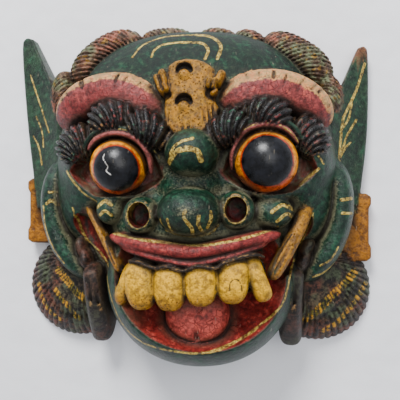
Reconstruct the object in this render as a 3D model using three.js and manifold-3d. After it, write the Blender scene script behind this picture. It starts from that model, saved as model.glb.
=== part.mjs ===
// A carved and painted wooden barong mask, lying face up on its flat back rim.
// It is one piece of wood: a domed face, hollowed from behind, with an open mouth.
// Millimetres. +Z points out of the face, +Y to the crown and +X to the right as seen from the front.
import * as THREE from 'three';
import { mergeVertices } from 'three/addons/utils/BufferGeometryUtils.js';
import Module from 'manifold-3d';

const wasm = await Module();
wasm.setup();

// Driving dimensions of the block and its hollow
const skull = { at: [-1, 60, 0], radii: [98, 72, 78], squareness: 2.3, steepness: 2.6 };
const face = { at: [0, -6, 0], radii: [105, 98, 78] };
const jaw = { at: [6, -60, 0], radii: [74, 71, 98], squareness: 2.1, steepness: 3.4 };
const temple = { at: [80, 18, 20], radii: [29, 57, 46], squareness: 2.6 };
const hollow = { at: [2, 4, -14], radii: [86, 110, 68], squareness: 2.2, steepness: 2.6 };

// Eyes
const eyeRadius = 22.5;
const eyeBulge = 21;
const eyeHeight = 80;
const lidRadius = 3.4;
const socketDepth = 9;
const leftEye = { x: -49.5, y: 21, radius: eyeRadius * 0.92 };
const rightEye = { x: 56, y: 24, radius: eyeRadius };

// Nose and muzzle
const noseTop = 117;
const noseBulge = 27;
const nose = { at: [3, -11, noseTop - noseBulge], radii: [22.5, 17, noseBulge] };
const bridgeKnob = { at: [4.2, 30, 85], radii: [19.2, 17, 25] };
const muzzle = { at: [2, -20, 38], radii: [67, 27, 50], squareness: 2.6 };
const nostrilRadius = 6.6;
const nostrilDepth = 19;
const nostrils = [{ at: [-32, -14, 84] }, { at: [35.5, -10, 85] }];
const nostrilWall = 6.2;

// Mouth
const bowl = { at: [11.5, -57, 94], radii: [66, 53.5, 46], squareness: 1.9, steepness: 2 };
const mouthSlot = { at: [3, -57, 36], radii: [56, 18, 40], squareness: 3 };
const upperLipRadius = 7.5;
const toothDepth = 8.5;
const tongue = { at: [6, -87, 63], radii: [24.5, 22.5, 18] };

// Ears and ear plates
const earReach = 149;
const earLength = 134;
const earWidth = 39;
const earRoot = 32;
const earEdge = 9;
const earLift = 3;
const earPlateThickness = 12;
const earPlateWidth = 27;
const earPlateHeight = 54;

// Hair
const ribDepth = 0.16;
const fan = { left: [-101, -75], right: [96.5, -75], radii: [44, 43, 34], ribs: 20, crowding: 0.55, peak: [-0.2, 0.2] };
const browLockRadius = 9.6;

// The crest on the forehead
const crestThickness = 16;

const solids = {
  // A closed three.js geometry as a solid that can be joined and cut.
  of(geometry) {
    const bare = geometry.clone();
    bare.deleteAttribute('normal');
    bare.deleteAttribute('uv');
    const merged = mergeVertices(bare, 1e-3);
    return new wasm.Manifold(new wasm.Mesh({
      numProp: 3,
      vertProperties: merged.attributes.position.array,
      triVerts: new Uint32Array(merged.index.array),
    }));
  },
  join(list) {
    return list.reduce((all, next) => all.add(next));
  },
  cut(base, list) {
    return list.reduce((left, next) => left.subtract(next), base);
  },
};

// Moves each vertex of a geometry by a function of its position and its uv.
function reshape(geometry, rule) {
  const position = geometry.attributes.position;
  const uv = geometry.attributes.uv;
  const p = new THREE.Vector3();
  for (let i = 0; i < position.count; i += 1) {
    p.fromBufferAttribute(position, i);
    rule(p, uv.getX(i), uv.getY(i));
    position.setXYZ(i, p.x, p.y, p.z);
  }
  return geometry;
}

// An ellipsoid. A squareness over 2 fills out the corners of its plan; a steepness over 2, its sides.
function blob({ at, radii, squareness = 2, steepness = squareness }, around = 14, down = 8) {
  const geometry = new THREE.SphereGeometry(1, around, down).rotateX(Math.PI / 2);
  reshape(geometry, (p) => {
    const plan = (Math.abs(p.x) ** squareness + Math.abs(p.y) ** squareness) ** (1 / squareness);
    p.multiplyScalar((plan ** steepness + Math.abs(p.z) ** steepness) ** (-1 / steepness));
  });
  geometry.scale(...radii).translate(...at);
  return solids.of(geometry);
}

// Rounds strands over a roll: 1 on each strand's crest and lower in the groove beside it.
function strand(t, count, depth) {
  return 1 - depth * (1 - Math.abs(Math.sin(Math.PI * count * t)));
}

// A roll with rounded ends along a smooth line through the points.
// width is its half width across the face, height its half height out of it.
// Its strands, if it has any, lean along it by a share of their width.
function roll({ points, width, height = width, taper = 1, strands = 0, lean = 0, blunt = 6, sides = 6, steps = 8 }) {
  const line = new THREE.CatmullRomCurve3(points.map((p) => new THREE.Vector3(...p)));
  const outward = new THREE.Vector3(0, 0, 1);
  const rings = strands ? strands * 2 : steps;
  const geometry = new THREE.SphereGeometry(1, sides, rings);
  reshape(geometry, (p, u, v) => {
    const t = THREE.MathUtils.clamp(1 - v, 0, 1);
    const tangent = line.getTangentAt(t);
    const across = new THREE.Vector3().crossVectors(outward, tangent).normalize();
    const up = new THREE.Vector3().crossVectors(tangent, across);
    const rounding = Math.sqrt(Math.max(0, 1 - Math.abs(2 * t - 1) ** blunt));
    const size = rounding * THREE.MathUtils.lerp(1, taper, t) * (strands ? strand(t, strands, ribDepth) : 1);
    const angle = 2 * Math.PI * u;
    p.copy(line.getPointAt(t));
    p.addScaledVector(across, -Math.cos(angle) * size * width);
    p.addScaledVector(tangent, -Math.cos(angle) * size * width * lean);
    p.addScaledVector(up, Math.sin(angle) * size * height);
  });
  return solids.of(geometry);
}

// Points along part of an ellipse in the plane of the face, from one angle to another, in degrees.
// The height out of the face follows the list of heights evenly along the arc.
function arc({ x, y, rx, ry, from, to, heights }, count = 5) {
  return Array.from({ length: count }, (_, i) => {
    const t = i / (count - 1);
    const angle = THREE.MathUtils.degToRad(THREE.MathUtils.lerp(from, to, t));
    const place = t * (heights.length - 1);
    const low = Math.min(Math.floor(place), heights.length - 2);
    const z = THREE.MathUtils.lerp(heights[low], heights[low + 1], place - low);
    return [x + rx * Math.cos(angle), y + ry * Math.sin(angle), z];
  });
}

// A flat carved plate with eased edges, from an outline in its own plane.
function plate(outline, thickness, ease = 2) {
  return new THREE.ExtrudeGeometry(outline, {
    depth: thickness - 2 * ease,
    bevelSize: ease,
    bevelThickness: ease,
    bevelOffset: -ease,
    bevelSegments: 1,
    curveSegments: 3,
  }).translate(0, 0, ease);
}

// The ear: a long leaf, thick where it grows out of the head and thin along its outer edge.
function ear(side, { x, y, length, width, belly }) {
  const outline = new THREE.Shape();
  outline.moveTo(-14, -10);
  outline.lineTo(-14, length * 0.3);
  outline.quadraticCurveTo(width * 0.12, length * 0.64, width * 0.72, length * 0.98);
  outline.quadraticCurveTo(width * 0.98, length, width, length * 0.9);
  outline.quadraticCurveTo(width * (belly + 0.25), length * 0.4, width * belly, -10);
  outline.closePath();
  const geometry = reshape(plate(outline, earRoot), (p) => {
    const outward = THREE.MathUtils.clamp(p.x / width, 0, 1);
    p.z = earLift + p.z * THREE.MathUtils.lerp(1, earEdge / earRoot, outward);
  });
  if (side < 0) {
    mirror(geometry);
  }
  return solids.of(geometry.translate(x, y, 0));
}

// Mirrors a geometry in X and turns its faces back out.
function mirror(geometry) {
  geometry.scale(-1, 1, 1);
  const position = geometry.attributes.position;
  const a = new THREE.Vector3();
  const b = new THREE.Vector3();
  for (let i = 0; i < position.count; i += 3) {
    a.fromBufferAttribute(position, i);
    b.fromBufferAttribute(position, i + 1);
    position.setXYZ(i, b.x, b.y, b.z);
    position.setXYZ(i + 1, a.x, a.y, a.z);
  }
  return geometry;
}

// The gilt ear plate: an upright bar with a rounded cap above and a lobe below.
function earPlate(side, { x, y }) {
  const w = earPlateWidth;
  const h = earPlateHeight;
  const outline = new THREE.Shape();
  outline.moveTo(0, 0);
  outline.lineTo(w * 0.86, 0);
  outline.quadraticCurveTo(w * 1.04, h * 0.06, w * 0.98, h * 0.2);
  outline.lineTo(w * 0.93, h * 0.26);
  outline.lineTo(w * 0.93, h * 0.8);
  outline.lineTo(w, h * 0.84);
  outline.quadraticCurveTo(w, h, w * 0.86, h);
  outline.lineTo(0, h);
  outline.closePath();
  const geometry = plate(outline, earPlateThickness);
  if (side < 0) {
    mirror(geometry);
  }
  return solids.of(geometry.translate(x, y - h / 2, 4));
}

// The fan of hair below each cheek: a low dome whose strands spread from a point near the jaw.
// The strands crowd to its outer side, where they show.
function hairFan(side) {
  const { left, right, radii, ribs, crowding, peak } = fan;
  const [x, y] = side < 0 ? left : right;
  const geometry = new THREE.SphereGeometry(1, ribs * 2, 5).rotateX(Math.PI / 2);
  reshape(geometry, (p, u) => {
    const spread = Math.hypot(p.x, p.y);
    const angle = 2 * Math.PI * u + crowding * Math.sin(2 * Math.PI * u);
    const groove = 1 - 0.065 * spread * (1 - Math.abs(Math.sin(Math.PI * ribs * u)));
    p.set(-side * Math.cos(angle) * spread * groove, -side * Math.sin(angle) * spread * groove, p.z * groove);
    p.x += side * peak[0] * p.z;
    p.y += peak[1] * p.z;
  });
  return solids.of(geometry.scale(...radii).translate(x, y, 0));
}

// The eyeball stands out of an almond-shaped mound, with a raised lid over it.
function eye({ x, y, radius }, side) {
  const lid = [[x + side * 29, y + 11, 73], [x + side * 17, y + 21, 79], [x, y + radius + 5, 84],
    [x - side * 17, y + 20, 84], [x - side * 28, y + 8, 80]];
  const mound = blob({ at: [x + side * 3, y - 1, 38], radii: [47, 29, 44], squareness: 2.4 }, 14, 8);
  return solids.join([
    mound.subtract(socket({ x, y, radius }, side)),
    roll({ points: lid, width: lidRadius, height: 6, sides: 5, steps: 7 }),
    blob({ at: [x, y, eyeHeight], radii: [radius, radius, eyeBulge] }, 16, 6),
  ]);
}

// The almond-shaped opening of the lids. Its floor falls away to both corners as the lids do.
function socket({ x, y, radius }, side) {
  const outline = new THREE.Shape();
  outline.moveTo(41, -3);
  outline.quadraticCurveTo(26, radius - 3, 0, radius + 2.5);
  outline.quadraticCurveTo(-24, radius - 4, -34, -8);
  outline.quadraticCurveTo(-22, -radius, 0, -radius - 0.6);
  outline.quadraticCurveTo(24, -radius, 41, -3);
  const geometry = new THREE.ExtrudeGeometry(outline, { depth: 50, bevelEnabled: false, curveSegments: 3 });
  reshape(geometry, (p) => {
    p.z += eyeHeight + 1.5 - socketDepth - 19 * (Math.abs(p.x) / 42) ** 1.7;
  });
  if (side < 0) {
    mirror(geometry);
  }
  return solids.of(geometry.translate(x, y, 0));
}

// The painted ridge over each brow, a thick crescent.
function browRidge(side) {
  const ridge = { x: side * 59.5, y: 45, rx: 42, ry: 34, heights: [38, 53, 61, 64, 64] };
  const [from, to] = side < 0 ? [165, 22] : [15, 158];
  return roll({ points: arc({ ...ridge, from, to }), width: 12.5, height: 21, blunt: 4, steps: 8 });
}

// Three rolls of black hair over each eye.
function browLocks(side) {
  const shapes = [
    [[97, 33, 64], [91, 46, 71], [79, 49, 77], [69, 41, 79]],
    [[70, 46, 79], [61, 57, 84], [50, 58, 87], [41, 53, 88]],
    [[43, 55, 88], [32, 52, 90], [22, 43, 89], [18, 32, 84]],
  ];
  return shapes.map((shape) => roll({
    points: shape.map(([x, y, z]) => [side * x, y, z]),
    width: browLockRadius,
    height: 12,
    strands: 5,
    blunt: 4,
  }));
}

// The green band that runs from beside the eye down round the cheek to the jaw.
function cheek(side) {
  const band = [[102, 32, 26], [110, 12, 28], [112, -9, 28], [107, -31, 28], [96, -50, 29], [82, -65, 31]];
  return solids.join([
    blob({ ...temple, at: [side * temple.at[0], temple.at[1], temple.at[2]] }, 12, 7),
    roll({ points: band.map(([x, y, z]) => [side * x, y, z]), width: 11, height: 25, steps: 8, blunt: 4 }),
  ]);
}

function jawLock(side) {
  return solids.join([
    roll({ points: [[side * 77, -52, 50], [side * 75, -80, 42], [side * 75, -109, 18]],
      width: 7.5, height: 13, taper: 1.35, steps: 6 }),
    roll({ points: [[side * 89, -32, 40], [side * 80, -57, 44]], width: 6, height: 14, steps: 4 }),
  ]);
}

function nostrilWings() {
  return nostrils.map(({ at }) => blob({
    at,
    radii: [nostrilRadius + nostrilWall, nostrilRadius + nostrilWall + 1, 15],
  }, 10, 5));
}

function nostrilHoles() {
  return nostrils.map(({ at: [x, y, z] }) => roll({
    points: [[x, y, z + 18], [x + 0.2, y + 1, z + 15 - nostrilDepth]],
    width: nostrilRadius,
    height: nostrilRadius + 1.2,
    blunt: 12,
    steps: 3,
    sides: 8,
  }));
}

function cheekKnobs() {
  return [
    blob({ at: [-57, -10, 70], radii: [11, 11.5, 16] }, 8, 5),
    blob({ at: [60, -12, 72], radii: [15, 12.5, 16] }, 8, 5),
  ];
}

// One fat roll below the nose; its ends turn down to the tusks.
function upperLip() {
  const line = [[-56, -30, 76], [-33, -37, 86], [1, -42, 92], [24, -39, 91], [44, -34, 86], [66, -29, 76]];
  return roll({ points: line, width: upperLipRadius, height: 9, steps: 10 });
}

// The pockets at the corners of the mouth, beside the tusks.
function mouthCorners() {
  return [-1, 1].map((side) => roll({
    points: [[side * 84, -14, 60], [side * 76, -36, 60], [side * 62, -60, 62]],
    width: 8,
    height: 14,
    sides: 5,
    steps: 5,
  }));
}

// Four broad front teeth, with a slanting tooth to one side of them and a fang to the other.
function teeth() {
  const front = [[-31, -62, 88, 11, 18], [-10, -62, 92, 10.8, 17.5],
    [11, -60, 93, 11, 16], [32, -59, 91, 10.6, 17]];
  return [
    ...front.map(([x, y, z, half, tall]) => blob({
      at: [x, y, z], radii: [half, tall, toothDepth], squareness: 3,
    }, 10, 6)),
    roll({ points: [[44, -42, 84], [50, -58, 88], [56, -73, 86]], width: 6.5, height: 7, steps: 5 }),
    roll({ points: [[-38, -48, 81], [-43, -62, 82], [-48, -78, 82]], width: 5.8, taper: 0.9, sides: 5, steps: 5 }),
  ];
}

function tusks() {
  return [
    roll({ points: [[-76, -9, 60], [-68, -20, 67], [-59, -35, 73], [-48, -56, 78]], width: 4, height: 9, blunt: 8 }),
    roll({ points: [[86, -9, 58], [79, -23, 67], [70, -39, 73], [59, -59, 79]], width: 5.8, height: 9, blunt: 8 }),
  ];
}

// The rolls of hair round the top of the head.
function crown() {
  const locks = [
    { points: [[-104, 101, 15], [-108, 88, 18], [-107, 74, 20], [-102, 58, 22]], width: 11, strands: 5 },
    { points: [[-99, 90, 18], [-85, 109, 19], [-65, 122, 18], [-43, 125, 16]], width: 13.5, strands: 8 },
    { points: [[-46, 125, 12], [-31, 128, 12], [-15, 128, 12], [-1, 124, 12]], width: 9, strands: 5 },
    { points: [[1, 124, 12], [15, 128, 12], [33, 124, 12]], width: 8.5, strands: 4 },
    { points: [[31, 122, 13], [42, 124, 14], [53, 117, 14]], width: 10, strands: 3 },
    { points: [[52, 121, 18], [72, 115, 20], [91, 103, 20], [103, 86, 18]], width: 14.5, strands: 8 },
    { points: [[100, 94, 16], [106, 80, 18], [105, 60, 22]], width: 10, strands: 4 },
  ];
  return locks.map((lock) => roll({ ...lock, height: 20, lean: 0.4, blunt: 4 }));
}

// One tier of the crest: a round-headed petal between two pairs of leaves.
function crestTier({ y, z, half, tall }) {
  const outline = new THREE.Shape();
  outline.moveTo(-half * 0.5, -tall);
  outline.lineTo(-half, -tall * 0.3);
  outline.lineTo(-half * 0.8, tall * 0.5);
  outline.lineTo(-half * 0.62, tall * 0.3);
  outline.quadraticCurveTo(-half * 0.5, tall, 0, tall);
  outline.quadraticCurveTo(half * 0.5, tall, half * 0.62, tall * 0.3);
  outline.lineTo(half * 0.8, tall * 0.5);
  outline.lineTo(half, -tall * 0.3);
  outline.lineTo(half * 0.5, -tall);
  outline.closePath();
  const geometry = plate(outline, crestThickness).rotateX(THREE.MathUtils.degToRad(-12));
  const body = solids.of(geometry.translate(3, y, z));
  const eyelet = roll({
    points: arc({ x: -1.4, y: y + tall * 0.1, rx: 5, ry: 6, from: 170, to: 10, heights: [z + 16, z + 16] }),
    width: 2, height: 5, sides: 4, steps: 6,
  });
  return body.subtract(eyelet);
}

const faceBlock = solids.join([
  blob(skull, 16, 8),
  blob(face, 20, 8),
  blob(jaw, 16, 8),
  ...[-1, 1].map(cheek),
  ...[-1, 1].map(jawLock),
  ...[-1, 1].map(hairFan),
  ...crown(),
]);

const openedMouth = solids.cut(faceBlock, [blob(bowl, 18, 9), ...mouthCorners()]);

const features = solids.join([
  openedMouth,
  blob(muzzle, 12, 7),
  blob(nose, 12, 7),
  ...nostrilWings(),
  ...cheekKnobs(),
  upperLip(),
  eye(leftEye, -1),
  eye(rightEye, 1),
  blob(bridgeKnob, 12, 7),
  blob({ at: [1, 8, 52], radii: [30, 22, 38] }, 12, 7),
  ...[-1, 1].map(browRidge),
  ...[-1, 1].flatMap(browLocks),
  crestTier({ y: 83, z: 62, half: 24, tall: 15 }),
  crestTier({ y: 60, z: 72, half: 20, tall: 15 }),
]);

const hollowed = solids.cut(features, [blob(hollow, 16, 8), blob(mouthSlot, 14, 6), ...nostrilHoles()]);

const whole = solids.join([
  hollowed,
  ...teeth(),
  ...tusks(),
  blob(tongue, 12, 8),
  ear(-1, { x: earWidth - earReach, y: 0, length: earLength, width: earWidth, belly: 0.6 }),
  ear(1, { x: earReach - earWidth - 4, y: -4, length: earLength - 10, width: earWidth - 8, belly: 0.72 }),
  earPlate(-1, { x: -116, y: -12 }),
  earPlate(1, { x: 112, y: -25 }),
]);

// Everything below the plane of the back rim is cut away.
const { min, max } = whole.boundingBox();
const below = new THREE.BoxGeometry(max[0] - min[0] + 2, max[1] - min[1] + 2, 1 - min[2]);
below.translate((min[0] + max[0]) / 2, (min[1] + max[1]) / 2, (min[2] - 1) / 2);
const carving = whole.subtract(solids.of(below));

// The solid as a three.js geometry, centred on its own footprint.
function geometryOf(solid) {
  const { vertProperties, triVerts, numProp, numVert } = solid.getMesh();
  const positions = new Float32Array(numVert * 3);
  for (let i = 0; i < numVert; i += 1) {
    positions.set(vertProperties.subarray(i * numProp, i * numProp + 3), i * 3);
  }
  const geometry = new THREE.BufferGeometry();
  geometry.setAttribute('position', new THREE.BufferAttribute(positions, 3));
  geometry.setIndex(new THREE.BufferAttribute(triVerts, 1));
  geometry.computeBoundingBox();
  const middle = geometry.boundingBox.getCenter(new THREE.Vector3());
  geometry.translate(-middle.x, -middle.y, 0);
  geometry.computeVertexNormals();
  return geometry;
}

const wood = new THREE.MeshStandardMaterial({ color: 0x1f4a38, roughness: 0.55, metalness: 0 });
const mask = new THREE.Mesh(geometryOf(carving), wood);
mask.name = 'mask';

const part = new THREE.Group();
part.add(mask);

export default part;
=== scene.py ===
"""The barong mask's looks: fine carving as one mesh, aged hand paint, a pale cloth and soft light.

The carving is worked out in millimetres in the same place as the CAD solid, as signed distances that are
negative inside the wood. x points right, y to the crown and z out of the face.
"""

import math

import bpy
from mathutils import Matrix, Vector
import numpy as np


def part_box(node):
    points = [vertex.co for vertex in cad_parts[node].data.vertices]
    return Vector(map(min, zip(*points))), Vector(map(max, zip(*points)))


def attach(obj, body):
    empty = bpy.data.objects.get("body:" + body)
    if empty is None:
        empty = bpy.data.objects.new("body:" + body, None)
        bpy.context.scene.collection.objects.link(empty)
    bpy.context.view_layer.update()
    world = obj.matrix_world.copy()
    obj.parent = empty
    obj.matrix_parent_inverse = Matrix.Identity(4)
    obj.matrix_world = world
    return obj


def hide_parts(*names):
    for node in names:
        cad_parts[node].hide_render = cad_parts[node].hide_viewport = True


MM = 0.001
SIDES = (-1, 1)

# The block that is carved, the grid that holds it, and how many triangles the mesh is thinned to.
BLOCK_LOW = (-154.0, -133.0, -3.0)
BLOCK_HIGH = (146.0, 142.0, 120.0)
STEP = 1.0
EMPTY = 12.0
TRIANGLES = 196000

# A distance that stands for nowhere near, and a length that keeps a division from failing.
FAR = 9.0
TINY = 1e-9

rng = np.random.default_rng(7)


# Shapes

class Shape:
    """A distance function with the box that it matters in."""

    def __init__(self, distance, low, high):
        self.distance = distance
        self.low = np.array(low, dtype=float)
        self.high = np.array(high, dtype=float)


def smooth_min(a, b, width):
    if width <= 0:
        return np.minimum(a, b)
    overlap = np.maximum(width - np.abs(a - b), 0) / width
    return np.minimum(a, b) - overlap * overlap * width * 0.25


def smooth_max(a, b, width):
    return -smooth_min(-a, -b, width)


def blob(at, radii, squareness=2.0, steepness=None):
    """An ellipsoid. Squareness over 2 fills out the corners of its plan; steepness over 2, its sides."""
    steepness = steepness or squareness

    def distance(x, y, z):
        dx, dy, dz = x - at[0], y - at[1], z - at[2]
        px = np.abs(dx / radii[0])
        py = np.abs(dy / radii[1])
        pz = np.abs(dz / radii[2])
        plan = (px ** squareness + py ** squareness) ** (1 / squareness)
        size = np.maximum((plan ** steepness + pz ** steepness) ** (1 / steepness), 1e-3)
        reach = np.sqrt(dx * dx + dy * dy + dz * dz)
        return reach * (1 - 1 / size)

    return Shape(distance, np.array(at) - np.array(radii), np.array(at) + np.array(radii))


def spline(points, count):
    """Points along a smooth line through the given ones."""
    p = np.array(points, dtype=float)
    p = np.vstack([2 * p[0] - p[1], p, 2 * p[-1] - p[-2]])
    spans = len(p) - 3
    out = []
    for i in range(spans):
        t = np.linspace(0, 1, count // spans + 1)[:, None]
        a, b, c, d = p[i:i + 4]
        bend = (2 * b) + (c - a) * t + (2 * a - 5 * b + 4 * c - d) * t ** 2
        out.append(0.5 * (bend + (3 * b - a - 3 * c + d) * t ** 3)[:-1])
    out.append(p[-2][None])
    return np.vstack(out)


def flat_spline(points, count):
    """The same in the plane of the face."""
    return spline([(*p, 0) for p in points], count)[:, :2]


def ways(degrees):
    """The cosine and sine of an angle."""
    return math.cos(math.radians(degrees)), math.sin(math.radians(degrees))


def nearest_on_line(line, x, y, z):
    """The share of the line at which the nearest point lies, the offset from there, and the length."""
    lengths = np.linalg.norm(np.diff(line, axis=0), axis=1)
    starts = np.concatenate([[0], np.cumsum(lengths)])
    best = None
    for start, length, a, b in zip(starts, lengths, line, line[1:]):
        way = (b - a) / length
        ox, oy, oz = x - a[0], y - a[1], z - a[2]
        u = np.clip(ox * way[0] + oy * way[1] + oz * way[2], 0, length)
        dx, dy, dz = ox - u * way[0], oy - u * way[1], oz - u * way[2]
        across = np.array([-way[1], way[0], 0.0])
        across /= max(np.linalg.norm(across), TINY)
        values = [dx * dx + dy * dy + dz * dz, (start + u) / starts[-1]]
        values += [dx * v[0] + dy * v[1] + dz * v[2] for v in (across, np.cross(way, across), way)]
        if best is not None:
            closer = values[0] < best[0]
            values = [np.where(closer, new, old) for new, old in zip(values, best)]
        best = values
    return best[1:], starts[-1]


def roll(points, width, height, taper=1.0, strands=0, lean=0.0, blunt=6, groove=0.2, plump=2.0):
    """A roll along a smooth line. Strands, if any, cross it and lean along it."""
    line = spline(points, max(12, 5 * len(points)))

    def distance(x, y, z):
        (t, across, up, along), length = nearest_on_line(line, x, y, z)
        end = np.abs(2 * t - 1) ** blunt
        size = np.sqrt(np.clip(1 - end, 0.0, 1)) * (1 + (taper - 1) * t)
        size = np.maximum(size, 0.1)
        narrow = min(width, height)
        reach = (np.abs(across / width) ** plump + np.abs(up / height) ** plump
                 + np.abs(along / narrow) ** plump) ** (1 / plump)
        rise = np.sqrt((across / width ** 2) ** 2 + (up / height ** 2) ** 2 + (along / narrow ** 2) ** 2)
        steep = np.clip(rise / np.maximum(reach, 1e-3), 1 / max(width, height), 1 / narrow)
        if strands:
            crest = np.abs(np.sin(math.pi * strands * (t + lean * across / length)))
            size = size * (1 - groove * (1 - crest ** 0.7))
        return (reach - size) / steep

    reach = max(width, height) * max(1, taper)
    return Shape(distance, line.min(0) - reach, line.max(0) + reach)


def cord(points, radius):
    """A thin round roll with blunt ends."""
    line = spline(points, max(10, 4 * len(points)))

    def distance(x, y, z):
        (_, across, up, along), _ = nearest_on_line(line, x, y, z)
        return np.sqrt(across ** 2 + up ** 2 + along ** 2) - radius

    return Shape(distance, line.min(0) - radius, line.max(0) + radius)


def segment_distance_squared(x, y, start, end):
    """To a straight piece of a line, in the plane of the face."""
    (ax, ay), (bx, by) = start, end
    ex, ey = bx - ax, by - ay
    t = np.clip(((x - ax) * ex + (y - ay) * ey) / (ex * ex + ey * ey + TINY), 0, 1)
    return (x - ax - ex * t) ** 2 + (y - ay - ey * t) ** 2


def outline_distance(outline, x, y):
    """Signed distance in the plane to a closed outline, negative inside."""
    nearest = None
    inside = np.zeros(np.broadcast(x, y).shape, dtype=bool)
    for (ax, ay), (bx, by) in zip(outline, np.roll(outline, -1, axis=0)):
        d2 = segment_distance_squared(x, y, (ax, ay), (bx, by))
        nearest = d2 if nearest is None else np.minimum(nearest, d2)
        crosses = (ay > y) != (by > y)
        inside ^= crosses & (x < (bx - ax) * (y - ay) / (by - ay + 1e-12) + ax)
    return np.where(inside, -1, 1) * np.sqrt(nearest)


def plate(outline, bottom, top, ease=1.5):
    """A flat plate whose upper face may slope: top is a height or a function of x and y."""
    outline = np.array(outline, dtype=float)
    level = top if callable(top) else (lambda x, y: top)

    def distance(x, y, z):
        side = outline_distance(outline, x, y)
        return smooth_max(smooth_max(side, z - level(x, y), ease), bottom - z, ease * 0.5)

    low = [*outline.min(0), bottom]
    high = [*outline.max(0), 100.0 if callable(top) else top]
    return Shape(distance, low, high)


# The hair fans: the middle of each, its radii, and the point that its strands spread from.
FANS = {-1: (-101.0, -75.0), 1: (96.5, -75.0)}
FAN_RADII = (44.0, 43.0, 34.0)
FAN_SOURCE = (83.0, -48.0)
FAN_STRANDS = 40
FAN_GROOVE = 2.4
FAN_STEEPNESS = 38


def fan_strand(side, x, y):
    """1 on the crest of a strand of the fan, 0 in the groove beside it."""
    u, v = x - side * FAN_SOURCE[0], y - FAN_SOURCE[1]
    angle = np.arctan2(v, side * u) + 0.0035 * np.hypot(u, v)
    return np.abs(np.sin(angle * FAN_STRANDS)) ** 0.8


def hair_fan(side):
    """The fan of hair below a cheek: a low dome whose strands spread from a point near the jaw."""
    cx, cy = FANS[side]
    rx, ry, rz = FAN_RADII
    peak = (-0.2 * side * rx, 0.2 * ry)
    reach = rx + 2

    def distance(x, y, z):
        rise = np.clip(z / rz, 0, 1)
        px = (x - cx - peak[0] * rise) / rx
        py = (y - cy - peak[1] * rise) / ry
        spread = np.sqrt(px * px + py * py)
        size = np.sqrt(spread ** 2 + (z / rz) ** 2)
        tier = 0.035 * np.clip(1 - np.abs(spread - 0.66) / 0.06, 0, 1)
        depth = FAN_GROOVE * np.clip(spread * 1.6, 0, 1) * np.clip((1.06 - spread) * 6, 0.3, 1)
        return (size - 1) * FAN_STEEPNESS + depth * (1 - fan_strand(side, x, y)) + tier * FAN_STEEPNESS

    return Shape(distance, (cx - reach, cy - reach, -3), (cx + reach, cy + reach, rz + 2))


def arc(x, y, rx, ry, start, end, heights, count=9):
    """Points along part of an ellipse in the plane of the face, angles in degrees."""
    t = np.linspace(0, 1, count)
    angle = np.radians(start + (end - start) * t)
    z = np.interp(t, np.linspace(0, 1, len(heights)), heights)
    return np.stack([x + rx * np.cos(angle), y + ry * np.sin(angle), z], axis=1)


def mirrored(side, points):
    return [(side * x, y, z) for x, y, z in points]


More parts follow.
